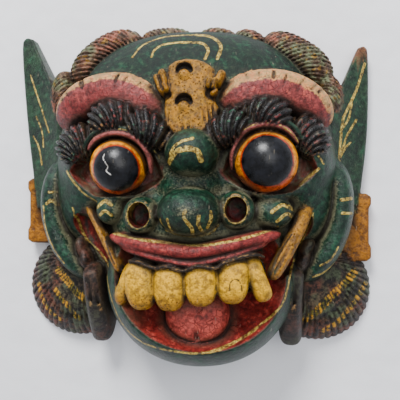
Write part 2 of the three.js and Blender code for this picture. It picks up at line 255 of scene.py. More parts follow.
class Carving:
    """The wood, as signed distances on a grid."""

    def __init__(self):
        ends = zip(BLOCK_LOW, BLOCK_HIGH)
        self.axes = [np.arange(low, high + STEP, STEP, dtype=np.float32) for low, high in ends]
        self.d = np.full([len(a) for a in self.axes], EMPTY, dtype=np.float32)
        self.groups = {}

    def near(self, shape, margin=7.0):
        cuts = []
        for i in range(3):
            a = np.searchsorted(self.axes[i], shape.low[i] - margin)
            b = np.searchsorted(self.axes[i], shape.high[i] + margin)
            cuts.append(slice(a, max(b, a + 1)))
        x = self.axes[0][cuts[0]][:, None, None]
        y = self.axes[1][cuts[1]][None, :, None]
        z = self.axes[2][cuts[2]][None, None, :]
        return tuple(cuts), x, y, z

    def add(self, group, shape, blend):
        """Joins a shape on, and gives its surface to a paint group."""
        self.groups.setdefault(group, []).append(shape)
        cuts, x, y, z = self.near(shape)
        self.d[cuts] = smooth_min(self.d[cuts], shape.distance(x, y, z).astype(np.float32), blend)

    def cut(self, group, shape, blend):
        """Cuts a shape out, and gives the surface of the cut to a paint group."""
        self.groups.setdefault(group, []).append(shape)
        self.score(shape, blend)

    def score(self, shape, blend):
        """Cuts a shape out, and leaves the paint as it is."""
        cuts, x, y, z = self.near(shape)
        self.d[cuts] = smooth_max(self.d[cuts], -shape.distance(x, y, z).astype(np.float32), blend)

    def sample(self, points):
        """Distance at any points, between the grid's."""
        g = (points - np.array(BLOCK_LOW)) / STEP
        top = np.array(self.d.shape) - 2
        i = np.clip(np.floor(g).astype(int), 0, top)
        f = np.clip(g - i, 0, 1)
        out = 0
        for corner in range(8):
            bit = np.array([corner & 1, corner >> 1 & 1, corner >> 2 & 1])
            share = np.prod(np.where(bit, f, 1 - f), axis=1)
            j = i + bit
            out = out + share * self.d[j[:, 0], j[:, 1], j[:, 2]]
        return out

    def slope(self, points, reach=0.8):
        out = np.zeros_like(points)
        for i in range(3):
            off = np.zeros(3)
            off[i] = reach
            out[:, i] = self.sample(points + off) - self.sample(points - off)
        return out / np.maximum(np.linalg.norm(out, axis=1, keepdims=True), 1e-6)

    def surface(self):
        """The wood's surface as vertices and four-sided faces, one vertex per grid cell that it crosses."""
        d = self.d
        inside = d < 0
        corners = list(np.ndindex(2, 2, 2))
        n = np.array(d.shape) - 1
        blocks = [tuple(slice(start, start + size) for start, size in zip(c, n)) for c in corners]
        count = sum(inside[block].astype(np.uint8) for block in blocks)
        cells = np.argwhere((count > 0) & (count < len(corners)))
        value = {c: d[tuple((cells + np.array(c)).T)] for c in corners}
        total = np.zeros((len(cells), 3))
        crossings = np.zeros(len(cells))
        for c in corners:
            for axis in range(3):
                if c[axis]:
                    continue
                end = list(c)
                end[axis] = 1
                a, b = value[c], value[tuple(end)]
                crossed = (a < 0) != (b < 0)
                place = np.tile(np.array(c, dtype=float), (len(cells), 1))
                place[:, axis] = np.where(crossed, a / np.where(crossed, a - b, 1), 0)
                total += place * crossed[:, None]
                crossings += crossed
        vertices = (cells + total / crossings[:, None]) * STEP + np.array(BLOCK_LOW)
        number = np.full(n, -1, dtype=np.int64)
        number[tuple(cells.T)] = np.arange(len(cells))
        faces = []
        for axis in range(3):
            side_a, side_b = np.eye(3, dtype=int)[[i for i in range(3) if i != axis]]
            lower = [slice(1, -1)] * 3
            lower[axis] = slice(0, n[axis])
            upper = list(lower)
            upper[axis] = slice(1, n[axis] + 1)
            a, b = inside[tuple(lower)], inside[tuple(upper)]
            for leaving, crossed in ((True, a & ~b), (False, ~a & b)):
                at = np.argwhere(crossed)
                ring = [at + side_a + side_b, at + side_b, at, at + side_a]
                quad = np.stack([number[tuple(r.T)] for r in ring], axis=1)
                turned = leaving == (axis == 1)
                faces.append(quad[:, ::-1] if turned else quad)
        return largest_island(vertices, np.concatenate(faces))


def largest_island(vertices, faces):
    """The mesh without the crumbs of wood that a cut leaves floating beside it."""
    label = np.arange(len(vertices))
    while True:
        lowest = label[faces].min(axis=1)
        joined = label.copy()
        for corner in range(4):
            np.minimum.at(joined, faces[:, corner], lowest)
            np.minimum.at(joined, label[faces[:, corner]], lowest)
        joined = joined[joined]
        if np.array_equal(joined, label):
            break
        label = joined
    kept = label == np.bincount(label).argmax()
    number = np.cumsum(kept) - 1
    return vertices[kept], number[faces[kept[faces[:, 0]]]]


# The carving's pieces

NOSTRILS = [(-32, -14, 84), (35.5, -10, 85)]

EYES = {
    -1: {"at": (-49.5, 21.0, 80.0), "radius": 20.6, "bulge": 20.5, "pupil": (-48.4, 18.8, 15.4),
         "outer": (-90, 18), "inner": (-17, 13)},
    1: {"at": (56.0, 24.0, 80.0), "radius": 22.4, "bulge": 22.0, "pupil": (56.6, 23.4, 17.0),
        "outer": (93, 19), "inner": (24, 17)},
}

TUSKS = {
    -1: [(-76, -9, 60), (-68.4, -19.6, 67), (-59.2, -34.7, 73), (-51.5, -48, 77), (-47.6, -56, 78)],
    1: [(85.6, -9, 58), (78.8, -23.3, 67), (70.7, -38.7, 73), (63.6, -51.2, 77), (58.7, -59, 79)],
}


def carve_head(wood):
    skull = blob((-1, 60, 0), (98, 72, 78), 2.3, 2.6)
    face = blob((0, -6, 0), (105, 98, 78))
    jaw = blob((6, -60, 0), (74, 71, 98), 2.1, 3.4)
    for shape in (skull, face, jaw):
        wood.add("skin", shape, 6)
    for side in SIDES:
        temple = blob((side * 80, 18, 20), (29, 57, 46), 2.6)
        wood.add("skin", temple, 7)
        band = mirrored(side, [(102, 32, 26), (110, 12, 28), (112, -9, 28), (107, -31, 28), (96, -50, 29),
                               (82, -65, 31)])
        wood.add("skin", roll(band, 11, 25, blunt=4, plump=2.2), 1.5)


def carve_mouth(wood):
    bowl = blob((11.5, -57, 94), (66, 53.5, 46), 1.9, 2)
    upper_jaw = blob((2, -20, 38), (67, 27, 50), 2.6)
    wood.cut("mouth", bowl, 2)
    for side in SIDES:
        corner = mirrored(side, [(85, -13, 60), (78, -34, 60), (62, -60, 62)])
        wood.cut("mouth", roll(corner, 8, 15), 2)
    wood.add("skin", upper_jaw, 4)


def nostril_bore(x, y, z):
    return roll([(x, y, z + 20), (x, y + 1, z - 6)], 7.2, 8.4, blunt=12)


def carve_nose(wood):
    bridge = blob((1, 8, 52), (30, 24, 36))
    knob = blob((4.2, 30, 85), (19.2, 17, 25))
    tip = blob((3, -11, 90), (22.5, 17, 27))
    for shape, blend in ((bridge, 5), (knob, 1.5), (tip, 2)):
        wood.add("skin", shape, blend)
    for at in NOSTRILS:
        wood.add("skin", blob(at, (12.6, 13.6, 15), 2, 2.6), 2)
        wood.cut("nostril", nostril_bore(*at), 1)


def carve_cheeks(wood):
    wood.add("skin", blob((-57, -10, 70), (11, 11.5, 16)), 2)
    wood.add("skin", blob((60, -12, 72), (15, 12.5, 16)), 2)
    for at in ((-79, 3, 50), (83, 5, 50)):
        wood.add("skin", blob(at, (16, 18, 22)), 5)


def lid_outline(side, eye):
    """The almond opening of the lids: from the outer corner over the ball to the inner one, and below."""
    x, y, _ = eye["at"]
    r = eye["radius"]
    over = [eye["outer"], (x + side * 30, y + 8), (x + side * 19, y + 16.5), (x, y + r + 2.5),
            (x - side * 17, y + 16), (x - side * 27, y + 5), eye["inner"]]
    below = [eye["inner"], (x - side * 26, y - 14), (x - side * 13, y - 20), (x, y - r - 0.6),
             (x + side * 18, y - 21), (x + side * 33, y - 11), eye["outer"]]
    return over, below


def lid_height(eye, u):
    """How high the rims of the lids stand: highest beside the ball, falling to the corners."""
    x, _, z = eye["at"]
    return z + 1.5 - 19 * (np.abs(u - x) / 42) ** 1.7


def carve_eyes(wood):
    for side, eye in EYES.items():
        x, y, _ = eye["at"]
        r = eye["radius"]
        wood.add("skin", blob((x + side * 3, y - 1, 38), (47, 29, 43), 2.3, 3), 6)
        over, below = lid_outline(side, eye)
        for points, width in ((over, 4.6), (below, 3.6)):
            rim = [(u, v, lid_height(eye, u) - 5) for u, v in points]
            wood.add("skin", roll(rim, width, 7, blunt=20), 3)
        flat = np.vstack([flat_spline(points, 28)[:-1] for points in (over, below)])

        def pocket(u, v, w, eye=eye, flat=flat):
            edge = outline_distance(flat, u, v)
            floor = lid_height(eye, u) - 1.5 - 7 * np.clip(-edge / 5, 0, 1)
            return smooth_max(edge + 0.25 * np.clip(78 - w, 0, 30), floor - w, 1)

        low = [*flat.min(0), 40]
        high = [*flat.max(0), 110]
        wood.cut("socket", Shape(pocket, low, high), 0.8)
        lid = [(x + side * 22.5, y + 12, 80), (x + side * 13, y + r - 0.8, 86), (x, y + r + 2.4, 88),
               (x - side * 14, y + r - 1.8, 88), (x - side * 22.5, y + 8, 85), (x - side * 24, y - 6, 80)]
        wood.add("lid", roll(lid, 2.5, 5), 0.5)
        wood.add("eye", blob(eye["at"], (r, r, eye["bulge"])), 0.4)
        fold = [(x + side * 28, y + 12, 73), (x + side * 16, y + r + 3, 82), (x, y + r + 6.6, 85),
                (x - side * 17, y + r + 1, 85), (x - side * 28, y + 9, 82)]
        wood.add("skin", roll(fold, 2.4, 6), 1)


# Each lobe's middle, radii, turn in degrees, the point its strands spread from and their count.
BROW_LOBES = [
    ((85.5, 38, 66), (18, 14.5, 17), 40, (79, 20), 30),
    ((56.5, 55.5, 79), (18.5, 13, 17), 6, (53, 33), 30),
    ((29, 47, 83), (18, 13, 16), -34, (38, 26), 28),
]


def brow_lobe(side, at, radii, turn, source, count):
    """A lobe of brow hair: a fat bean whose strands spread like a comb from a point under it."""
    c, s = ways(-turn)
    at = (at[0] - 2.5, at[1], at[2]) if side < 0 else (at[0], at[1] + 0.1 * max(at[0] - 50, 0), at[2])

    def distance(x, y, z):
        dx, dy, dz = side * x - at[0], y - at[1], z - at[2]
        px = (dx * c + dy * s) / radii[0]
        py = (dy * c - dx * s) / radii[1]
        pz = dz / radii[2]
        size = (np.abs(px) ** 2.6 + np.abs(py) ** 2.2 + np.abs(pz) ** 2.4) ** (1 / 2.4)
        u, v = side * x - source[0], y - source[1]
        angle = np.arctan2(v, u) + 0.02 * np.hypot(u, v)
        crest = np.abs(np.sin(angle * count / 2))
        return (size - 1) * radii[1] + 3.4 * (1 - crest ** 0.6)

    reach = max(radii) + 2
    middle = np.array([side * at[0], at[1], at[2]])
    return Shape(distance, middle - reach, middle + reach)


# The brow ridges: the arc each follows, its section, how high it stands from end to end, the angles
# at its ends and the places of its notches. The edge is where its pink gives way to cream.
RIDGE_AT = (59.5, 45)
RIDGE_RADII = (39, 31)
RIDGE_EDGE_RADII = (42, 34)
RIDGE_WIDTH = 15.5
RIDGE_HEIGHT = 21
RIDGE_FULLNESS = 2.6
RIDGE_RISE = [38, 53, 61, 64, 64]
RIDGE_ENDS = {-1: (165, 8), 1: (15, 158)}
NOTCHES = {
    -1: [150, 139, 128, 116, 108, 97, 84, 72, 64, 52, 40, 28],
    1: [22, 34, 44, 52, 64, 74, 85, 96, 112, 124, 138],
}


def ridge_notch(side, degrees):
    """A short cut across a brow ridge near an angle, uneven in its place, length and width."""
    start, end = RIDGE_ENDS[side]
    degrees = degrees + rng.uniform(-4, 4)
    inner, outer = rng.uniform(0.98, 1.16), rng.uniform(1.24, 1.38)
    base = np.interp((degrees - start) / (end - start), np.linspace(0, 1, len(RIDGE_RISE)), RIDGE_RISE)
    middle = np.array([side * RIDGE_AT[0], RIDGE_AT[1]])
    points = []
    for share in (inner, (inner + outer) / 2, outer):
        off = min(abs(share * sum(RIDGE_EDGE_RADII) / 2 - sum(RIDGE_RADII) / 2), RIDGE_WIDTH - 0.1)
        top = base + RIDGE_HEIGHT * (1 - (off / RIDGE_WIDTH) ** RIDGE_FULLNESS) ** (1 / RIDGE_FULLNESS)
        points.append((*(middle + np.array(ways(degrees)) * RIDGE_EDGE_RADII * share), top))
    return cord(points, rng.uniform(0.35, 0.95))


def carve_brows(wood):
    for side in SIDES:
        ridge = arc(side * RIDGE_AT[0], RIDGE_AT[1], *RIDGE_RADII, *RIDGE_ENDS[side], RIDGE_RISE)
        wood.add("ridge", roll(ridge, RIDGE_WIDTH, RIDGE_HEIGHT, blunt=4, plump=RIDGE_FULLNESS), 1)
        for degrees in NOTCHES[side]:
            wood.score(ridge_notch(side, degrees), 1.2)
        for lobe in BROW_LOBES:
            wood.add("brow", brow_lobe(side, *lobe), 0.4)


# The crest: two carved plates on a plain one, with leaves at the sides and grooves between them.
CREST_GROUND = [(-15, 86), (21, 86), (19, 70), (23, 60), (15, 46), (-12, 46), (-16, 56)]
CREST_UPPER = [(-11.5, 71), (-12.7, 77), (-14.2, 86), (-13, 92.2), (-8, 95.7), (0, 97), (8, 96.2),
               (14, 93.8), (18.3, 90.5), (19, 85), (15.5, 77), (14.5, 71)]
CREST_LOWER = [(-9.3, 73.5), (-5, 75.3), (3.3, 76), (12.4, 74.2), (14.5, 69.5), (20, 66), (23.4, 61),
               (21, 54.5), (16, 47), (11, 43), (-9, 43), (-14.2, 50), (-15.4, 58), (-14.9, 66.6),
               (-10.5, 69.5)]
CREST_LEAVES = [
    ((-14, 77, 81), (-18.2, 89.5, 79), 3.0),
    ((-18, 75, 79), (-22.5, 86, 77), 2.7),
    ((-12, 72, 84), (-16, 79, 83), 2.4),
    ((15.4, 74.5, 83), (17.3, 82.5, 83), 2.4),
    ((18.8, 73.5, 82), (20.7, 82.5, 81), 2.4),
    ((20.5, 76, 81), (25.6, 87.5, 78), 3.4),
    ((-15, 70.5, 83), (-19.5, 77, 81), 2.2),
    ((16.5, 69, 84), (21.5, 73, 82), 2.2),
]
CREST_GROOVES = [((15.5, 67), (17, 51)), ((18.8, 64), (19.6, 53.5)), ((12.5, 72), (13.4, 52)),
                 ((-9.8, 70), (-9.6, 52)), ((-12.6, 66), (-12.2, 52)), ((-16, 76), (-20, 87))]


def carve_crest(wood):
    foot = 50
    wood.add("crest", plate(CREST_GROUND, foot, 83, 3), 1)
    wood.add("crest", plate(CREST_UPPER, foot, lambda u, v: 86 - 0.2 * (v - 84) - 0.008 * u * u, 3), 1)
    wood.add("crest", plate(CREST_LOWER, foot, lambda u, v: 90.5 + 0.1 * (60 - v) - 0.008 * u * u, 3), 0.5)
    for low, high, width in CREST_LEAVES:
        wood.add("crest", roll([low, high], width, 8), 0.3)
    for (ax, ay), (bx, by) in CREST_GROOVES:
        line = [(ax, ay, 91 - 0.012 * ax * ax), (bx, by, 91.5 - 0.012 * bx * bx)]
        wood.score(cord(line, 0.8), 0.8)
    for x, y, z in ((-1.6, 85.5, 86), (-1.2, 62.5, 90)):
        moon = arc(x, y, 5.0, 6.2, 176, 4, [z + 1, z + 1])
        wood.cut("gum", roll(moon, 2.7, 9, blunt=2), 0.5)
        wood.add("crest", blob((x, y - 1, z - 1), (4.4, 4.6, 3)), 0.6)
    for x, y in ((-5, 54), (-1, 52), (3, 52), (7, 54), (10, 57)):
        wood.score(cord([(x - 0.6, y - 7, 91), (x, y, 91.6)], 0.6), 0.6)


def carve_lips(wood):
    upper = [(-56, -29, 77), (-33, -34, 89), (1, -39, 94), (24, -36, 93), (44, -31, 88), (66, -27, 77)]
    lower = [(-48, -36, 80), (-25, -42, 90), (3, -47, 93), (24, -43.5, 92), (43, -38, 87), (57, -33, 80)]
    wood.add("lip", roll(upper, 5.6, 9), 1)
    wood.add("lip", roll(lower, 3.4, 8), 0.6)


def tooth(x, y, z, half, tall, turn):
    """A barrel of a tooth, narrower to its blunt tip."""
    c, s = ways(turn)
    deep = 9

    def distance(u, v, w):
        dx, dy, dz = u - x, v - y, w - z
        px, py, pz = (dx * c + dy * s) / half, (dy * c - dx * s) / tall, dz / deep
        px = px / (1 - 0.3 * np.clip(-py - 0.25, 0, 1) ** 1.2)
        size = (np.abs(px) ** 3 + np.abs(py) ** 3.2 + np.abs(pz) ** 2.3) ** (1 / 2.6)
        return (size - 1) * deep

    return Shape(distance, (x - tall, y - tall - 1, z - deep - 1), (x + tall, y + tall + 1, z + deep + 1))


# Each front tooth's middle, half width, half height and lean in degrees.
FRONT_TEETH = [
    (-31.3, -63, 88, 11.5, 17.6, 3),
    (-10.4, -63.6, 92, 11.6, 16.8, 1),
    (11.4, -61, 93, 11.7, 15.6, -1),
    (33, -59, 91, 11.5, 15.8, -4),
]


def carve_teeth(wood):
    for x, y, z, half, tall, turn in FRONT_TEETH:
        wood.add("gum", blob((x, y + 13, z - 3), (10.5, 8, 9)), 1.5)
        wood.add("tooth", tooth(x, y, z, half, tall, turn), 0.4)
    contour = [(-41, -45.6, 88), (-31, -46.6, 93), (-20.6, -50.2, 94.5), (-10.8, -48.6, 98),
               (-0.5, -51.6, 97), (10.1, -47.8, 99.5), (21.6, -49.4, 98), (28, -45.6, 98),
               (37.5, -42.6, 95), (48.4, -40.6, 91), (55, -42.6, 86)]
    wood.add("gum", roll(contour, 1.3, 5, blunt=12), 0.4)
    right = [(44, -42, 84), (50, -58, 88), (56, -73, 86)]
    left = [(-38, -48, 81), (-43.5, -62, 82), (-48.5, -78, 82)]
    wood.add("tooth", roll(right, 6.5, 7, blunt=8), 0.4)
    wood.add("tooth", roll(left, 5.6, 6.5, taper=0.9, blunt=5), 0.4)
    for side, width in ((-1, 3.4), (1, 5.6)):
        wood.add("tusk", roll(TUSKS[side], width, 9, blunt=8), 0.5)
    wood.score(cord([(80, -21, 77), (73, -34, 81), (67, -45, 84), (61.5, -55, 86)], 1.3), 0.8)


def carve_tongue(wood):
    wood.add("tongue", blob((6, -87, 63), (23.5, 21.5, 18), 2, 3.2), 1)
    wood.score(cord([(6, -76, 84), (6.5, -90, 83), (6.5, -102, 78)], 1.4), 2.5)


def carve_hair(wood):
    locks = [
        ([(-104, 101, 15), (-108, 88, 18), (-107, 74, 20), (-102, 58, 22)], 11, 12),
        ([(-99, 90, 18), (-85, 109, 19), (-65, 122, 18), (-43, 125, 16)], 13.5, 17),
        ([(-46, 125, 12), (-31, 128, 12), (-15, 128, 12), (-1, 124, 12)], 9, 13),
        ([(1, 124, 12), (15, 128, 12), (33, 124, 12)], 8.5, 8),
        ([(31, 122, 13), (42, 124, 14), (53, 117, 14)], 10, 7),
        ([(52, 121, 18), (72, 115, 20), (91, 103, 20), (103, 86, 18)], 14.5, 17),
        ([(100, 94, 16), (106, 80, 18), (105, 60, 22)], 10, 9),
    ]
    for number, (line, width, strands) in enumerate(locks):
        lean = 0.9 if number < 3 else -0.9
        shape = roll(line, width, 20, strands=strands, lean=lean, blunt=4, groove=0.16)
        wood.add("hair", shape, 0.4)
    for side in SIDES:
        wood.add("fan", hair_fan(side), 0.5)
        lock = mirrored(side, [(77, -52, 50), (75, -80, 42), (75, -109, 18)])
        wood.add("lock", roll(lock, 7.3, 13, taper=1.3, blunt=14, plump=2.8), 0.6)
        for across in (-3.4, 1.2):
            groove = [(77 + across, -58, 62.5), (75 + across, -80, 56), (75 + across, -104, 34)]
            wood.score(cord(mirrored(side, groove), 0.9), 1.2)
        bead = mirrored(side, [(89, -32, 40), (80, -57, 44)])
        wood.add("lock", roll(bead, 6, 14, strands=2, lean=0.6, groove=0.2), 0.6)


def ear_outline(side, x, y, length, width, belly):
    """The outline of an ear in the plane, from the head out round the tip and back."""
    top = (width * 0.72, length * 0.98)
    inner = flat_spline([(-14, -10), (-14, length * 0.3), (width * 0.1, length * 0.62), top], 20)
    outer = flat_spline([top, (width * 0.92, length * 0.99), (width, length * 0.9),
                         (width * (belly + 0.25), length * 0.42), (width * belly, -10)], 20)
    flat = np.vstack([inner, outer[1:]])
    return np.stack([x + side * flat[:, 0], y + flat[:, 1]], axis=1)


# Each ear's root, length and width, and the share of the width that its lower edge takes.
EARS = {-1: (-110, 0, 134, 39, 0.6), 1: (106, -4, 124, 31, 0.72)}


def carve_ears(wood):
    for side, (x, y, length, width, belly) in EARS.items():
        def top(u, v, side=side, x=x, width=width):
            outward = np.clip((u - x) * side / width, 0, 1)
            return 35 - 23 * outward - 2.2 * np.sin(math.pi * outward)

        wood.add("ear", plate(ear_outline(side, x, y, length, width, belly), 3, top, 2.5), 2)


EAR_PLATES = {-1: (-116, -12), 1: (112, -25)}
EAR_PLATE_SIZE = (27, 54)


def carve_ear_plates(wood):
    w, h = EAR_PLATE_SIZE
    for side, (x, y) in EAR_PLATES.items():
        flat = [(0, 0), (0.86 * w, 0), (w, 0.05 * h), (w, 0.2 * h), (0.93 * w, 0.27 * h),
                (0.93 * w, 0.78 * h), (w, 0.84 * h), (w, 0.95 * h), (0.86 * w, h), (0, h)]
        shape = plate([(x + side * u, y - h / 2 + v) for u, v in flat], 4, 16, 3)
        wood.add("plate", shape, 0.6)
        for v in (0.27, 0.74, 0.8):
            line = [(x + side * u * w, y + (v - 0.5) * h, 16.5) for u in (0.2, 1)]
            wood.score(cord(line, 0.8), 0.6)


def carve_back(wood):
    """The hollow for the face, and the slot that opens it to the mouth."""
    wood.cut("bare", blob((2, 4, -14), (86, 110, 68), 2.2, 2.6), 1)
    wood.cut("bare", blob((3, -57, 36), (56, 18, 40), 3), 1)


def flatten_back(wood):
    wood.d = np.maximum(wood.d, -wood.axes[2][None, None, :])


def carve():
    wood = Carving()
    carve_head(wood)
    carve_mouth(wood)
    carve_hair(wood)
    carve_nose(wood)
    carve_cheeks(wood)
    carve_lips(wood)
    carve_eyes(wood)
    carve_brows(wood)
    carve_crest(wood)
    carve_back(wood)
    # What was joined on since then closes over the nostrils, so they are bored again.
    for at in NOSTRILS:
        wood.score(nostril_bore(*at), 1)
    carve_teeth(wood)
    carve_tongue(wood)
    carve_ears(wood)
    carve_ear_plates(wood)
    flatten_back(wood)
    return wood


# Paint

RICHNESS = 1.25
LUMINANCE = np.array([0.2126, 0.7152, 0.0722])


def tint(red, green, blue):
    """A colour of 0 to 255 as linear light, a little richer."""
    c = np.array([red, green, blue]) / 255
    light = np.where(c <= 0.04045, c / 12.92, ((c + 0.055) / 1.055) ** 2.4)
    grey = light @ LUMINANCE
    return np.clip(grey + (light - grey) * RICHNESS, 0.001, 1.0)


COLOURS = {
    "skin": (27, 56, 42),
    "ear": (38, 62, 44),
    "mouth": (132, 48, 44),
    "nostril": (72, 24, 22),
    "socket": (112, 44, 42),
    "lid": (150, 88, 84),
    "eye": (225, 140, 40),
    "ridge": (140, 70, 68),
    "brow": (20, 20, 21),
    "crest": (164, 122, 44),
    "lip": (138, 58, 56),
    "gum": (40, 32, 28),
    "tooth": (234, 186, 92),
    "tusk": (168, 122, 56),
    "tongue": (196, 98, 90),
    "hair": (92, 72, 60),
    "fan": (36, 31, 27),
    "lock": (44, 36, 31),
    "plate": (156, 104, 34),
    "bare": (150, 112, 74),
}
GLOSS = {"skin": 0.4, "ear": 0.45, "brow": 0.28, "eye": 0.3, "crest": 0.5, "plate": 0.45, "tooth": 0.42,
         "tusk": 0.42, "bare": 0.8, "mouth": 0.55, "fan": 0.55, "hair": 0.5}
PITTED = {"crest": 0.9, "plate": 0.3, "tooth": 0.3, "tusk": 0.7}

# Where a cut's surface crosses a form that stands on it, the form's paint wins.
CUT_PENALTY = {"mouth": 0.7, "socket": 0.3, "nostril": 0.3}

# How much less dark wash and painted shade these paints hold, the teeth's stain and the broken ear tip's
# wood.
LESS_WASH_AND_SHADE = {"tooth": 0.4, "mouth": 0.35, "skin": 0.3, "socket": 0.4}
STAIN = tint(176, 122, 58)
BROKEN_WOOD = tint(122, 84, 62)

# How softly paints meet, how wide a broad hollow is, and the values off the eyes and the ridges.
PAINT_BLEND = 0.3
BASIN_REACH = 11
OFF_EYE = 3.0
NO_CREAM = -6.0

# Gilt lines laid on with a brush: half width and points in x and y, in millimetres.
GILT_LINES = [
    (0.7, [(-43, 103), (-38, 112), (-31, 117), (-18, 121.5), (3, 122)]),
    (1.15, [(3, 122), (13, 120), (20, 115), (23, 108), (21, 99)]),
    (0.75, [(-28, 102), (-26, 108), (-20, 112.5), (-7, 114)]),
    (1.05, [(-7, 114), (7, 113), (12, 110), (14, 105), (12, 99)]),
    (1.0, [(-9.8, 22), (-7.2, 30.5), (-0.7, 35.6), (7, 38)]),
    (1.8, [(-10.2, 22.5), (-3.5, 29), (4.2, 31.2), (10.8, 28.8), (12.5, 23.5)]),
    (0.7, [(-15.4, -15.7), (-15, -20), (-12.7, -24)]),
    (0.8, [(-9.3, -16), (-8.6, -21), (-6.9, -26)]),
    (1.2, [(3.4, -10), (2.6, -15), (6.9, -22), (6, -28)]),
    (1.1, [(12.2, -13.7), (11.4, -19), (13.5, -26)]),
    (0.9, [(19.5, -11), (19.4, -16), (16.7, -22)]),
    (0.8, [(-13.7, -24.2), (-5, -27.5), (5, -28.8), (16.5, -26.7), (22.9, -20.8)]),
    (1.3, [(-64.8, -8.3), (-58.6, -3.9), (-54, -6.8)]),
    (1.1, [(-62.8, -14), (-57.9, -11.1), (-54, -14)]),
    (1.3, [(60, -11.5), (67.6, -6.7), (77.3, -10.9)]),
    (1.1, [(63.5, -18), (70.3, -12.9), (75.9, -16.4)]),
    (0.8, [(-54, -26.5), (-38.8, -29), (-24.5, -31.4), (-6.3, -32.6), (11.1, -34), (26, -32.2), (41.6, -29),
           (55.9, -25), (64, -22)]),
    (1.2, [(-113, -6), (-109, -3.5), (-105, -7)]),
    (0.8, [(-116, -8), (-114, -27), (-106, -44), (-100, -52)]),
    (0.9, [(-111, 3), (-106, 3)]),
    (1.2, [(111, -3), (119, -2)]),
    (1.0, [(112, -13), (119, -13)]),
    (0.9, [(122, -25), (116, -42), (102, -56), (91, -61)]),
    (0.7, [(109, -38), (104, -47), (96, -52)]),
    (0.7, [(-140, 101), (-130, 76), (-120, 52)]),
    (0.7, [(-134, 66), (-128, 54), (-126, 40)]),
    (0.7, [(-137, 50), (-131, 40), (-128, 26)]),
    (1.0, [(134, 105), (127, 84), (119, 67), (115, 57), (112, 27)]),
    (0.8, [(112, 27), (119, 47), (127, 60)]),
    (0.8, [(113, 30), (118, 38), (122, 42)]),
    (0.8, [(113, 50), (120, 60), (123, 72)]),
    (0.8, [(-91, 18), (-84, 9), (-76, 1), (-67, -4.5)]),
    (0.9, [(93, 19), (86, 13), (80, 7.5)]),
    (0.7, [(87.5, 31), (92, 28.5), (96.5, 22.5)]),
    (0.5, [(-72, 36), (-62, 44), (-49, 46.5), (-36, 44), (-25, 35), (-20, 26)]),
    (0.5, [(31, 32), (38, 43), (50, 49), (62, 49), (73, 43), (82, 33)]),
    (0.7, [(-89, -9), (-87, -24), (-81, -36), (-71, -45), (-62, -60), (-56, -77), (-48, -93), (-34, -104),
           (-16, -108.5), (9, -110.5), (26, -107), (44, -98), (61, -84), (69, -74), (74, -55), (81, -38),
           (88, -22), (90, -13)]),
]
RING_LINES = [(x, y, 7.9, 9.1, 0.35) for x, y, _ in NOSTRILS]

# A white scratch down one pupil, and the split round a mended tooth.
CHIPS = [(0.35, [(-55.2, 28.7), (-55.9, 25.3), (-52.4, 19.7), (-53.8, 16.9), (-50.3, 14.1)])]
SPLITS = [
    (0.9, [(59.3, -54.7), (62.1, -46.3), (66.2, -38.6)]),
    (0.5, [(66.2, -38.6), (73.8, -27.5)]),
    (0.6, [(-58.7, -32.9), (-55.7, -40.1), (-51.3, -48.8)]),
    (0.4, [(31.7, -64.6), (31.7, -59.9), (33.8, -57.1), (37.1, -57.1), (39.1, -60.4), (39.8, -64.5)]),
]
FAN_BANDS = [
    (3.4, [(86, -97), (95, -90), (103, -81), (109, -75), (116, -69), (125, -60)]),
    (2.6, [(102, -107), (112, -100), (118, -93), (125, -84), (130, -77), (135, -70)]),
    (3.4, [(-111, -60), (-102, -69), (-97, -75), (-89, -83)]),
    (2.4, [(-114, -76), (-110, -82), (-104, -89), (-97, -100)]),
    (2.6, [(-132, -72), (-129, -84), (-123, -95), (-114, -103)]),
]


def group_distances(wood, vertices):
    """How near each vertex is to the surface of each paint group."""
    out = {}
    for name, shapes in wood.groups.items():
        nearest = np.full(len(vertices), FAR)
        for shape in shapes:
            close = np.all((vertices > shape.low - 3) & (vertices < shape.high + 3), axis=1)
            if not close.any():
                continue
            x, y, z = vertices[close].T
            nearest[close] = np.minimum(nearest[close], np.abs(shape.distance(x, y, z)))
        out[name] = nearest + CUT_PENALTY.get(name, 0.0)
    out["bare"] = np.minimum(out["bare"], np.abs(vertices[:, 2]) + 0.2)
    return out


def line_distance(vertices, lines, rings=()):
    """Distance past the edge of the nearest painted line, seen from the front; negative on the line."""
    x, y = vertices[:, 0], vertices[:, 1]
    nearest = np.full(len(vertices), FAR)
    for half, points in lines:
        line = flat_spline(points, 6 * len(points))
        close = np.all((vertices[:, :2] > line.min(0) - 5) & (vertices[:, :2] < line.max(0) + 5), axis=1)
        u, v = x[close], y[close]
        best = np.min([segment_distance_squared(u, v, a, b) for a, b in zip(line[:-1], line[1:])], axis=0)
        nearest[close] = np.minimum(nearest[close], np.sqrt(best) - half)
    for cx, cy, rx, ry, half in rings:
        ring = np.abs(np.hypot((x - cx) / rx, (y - cy) / ry) - 1) * rx
        nearest = np.minimum(nearest, ring - half)
    return nearest


def ridge_edge(x, y):
    """Distance past the edge where a brow ridge's pink gives way to cream."""
    side = np.sign(x)
    rx, ry = RIDGE_EDGE_RADII
    share = np.hypot((x - side * RIDGE_AT[0]) / rx, (y - RIDGE_AT[1]) / ry)
    return (share - 1.08) * 36 - np.where(side < 0, 2.6, 0.0)


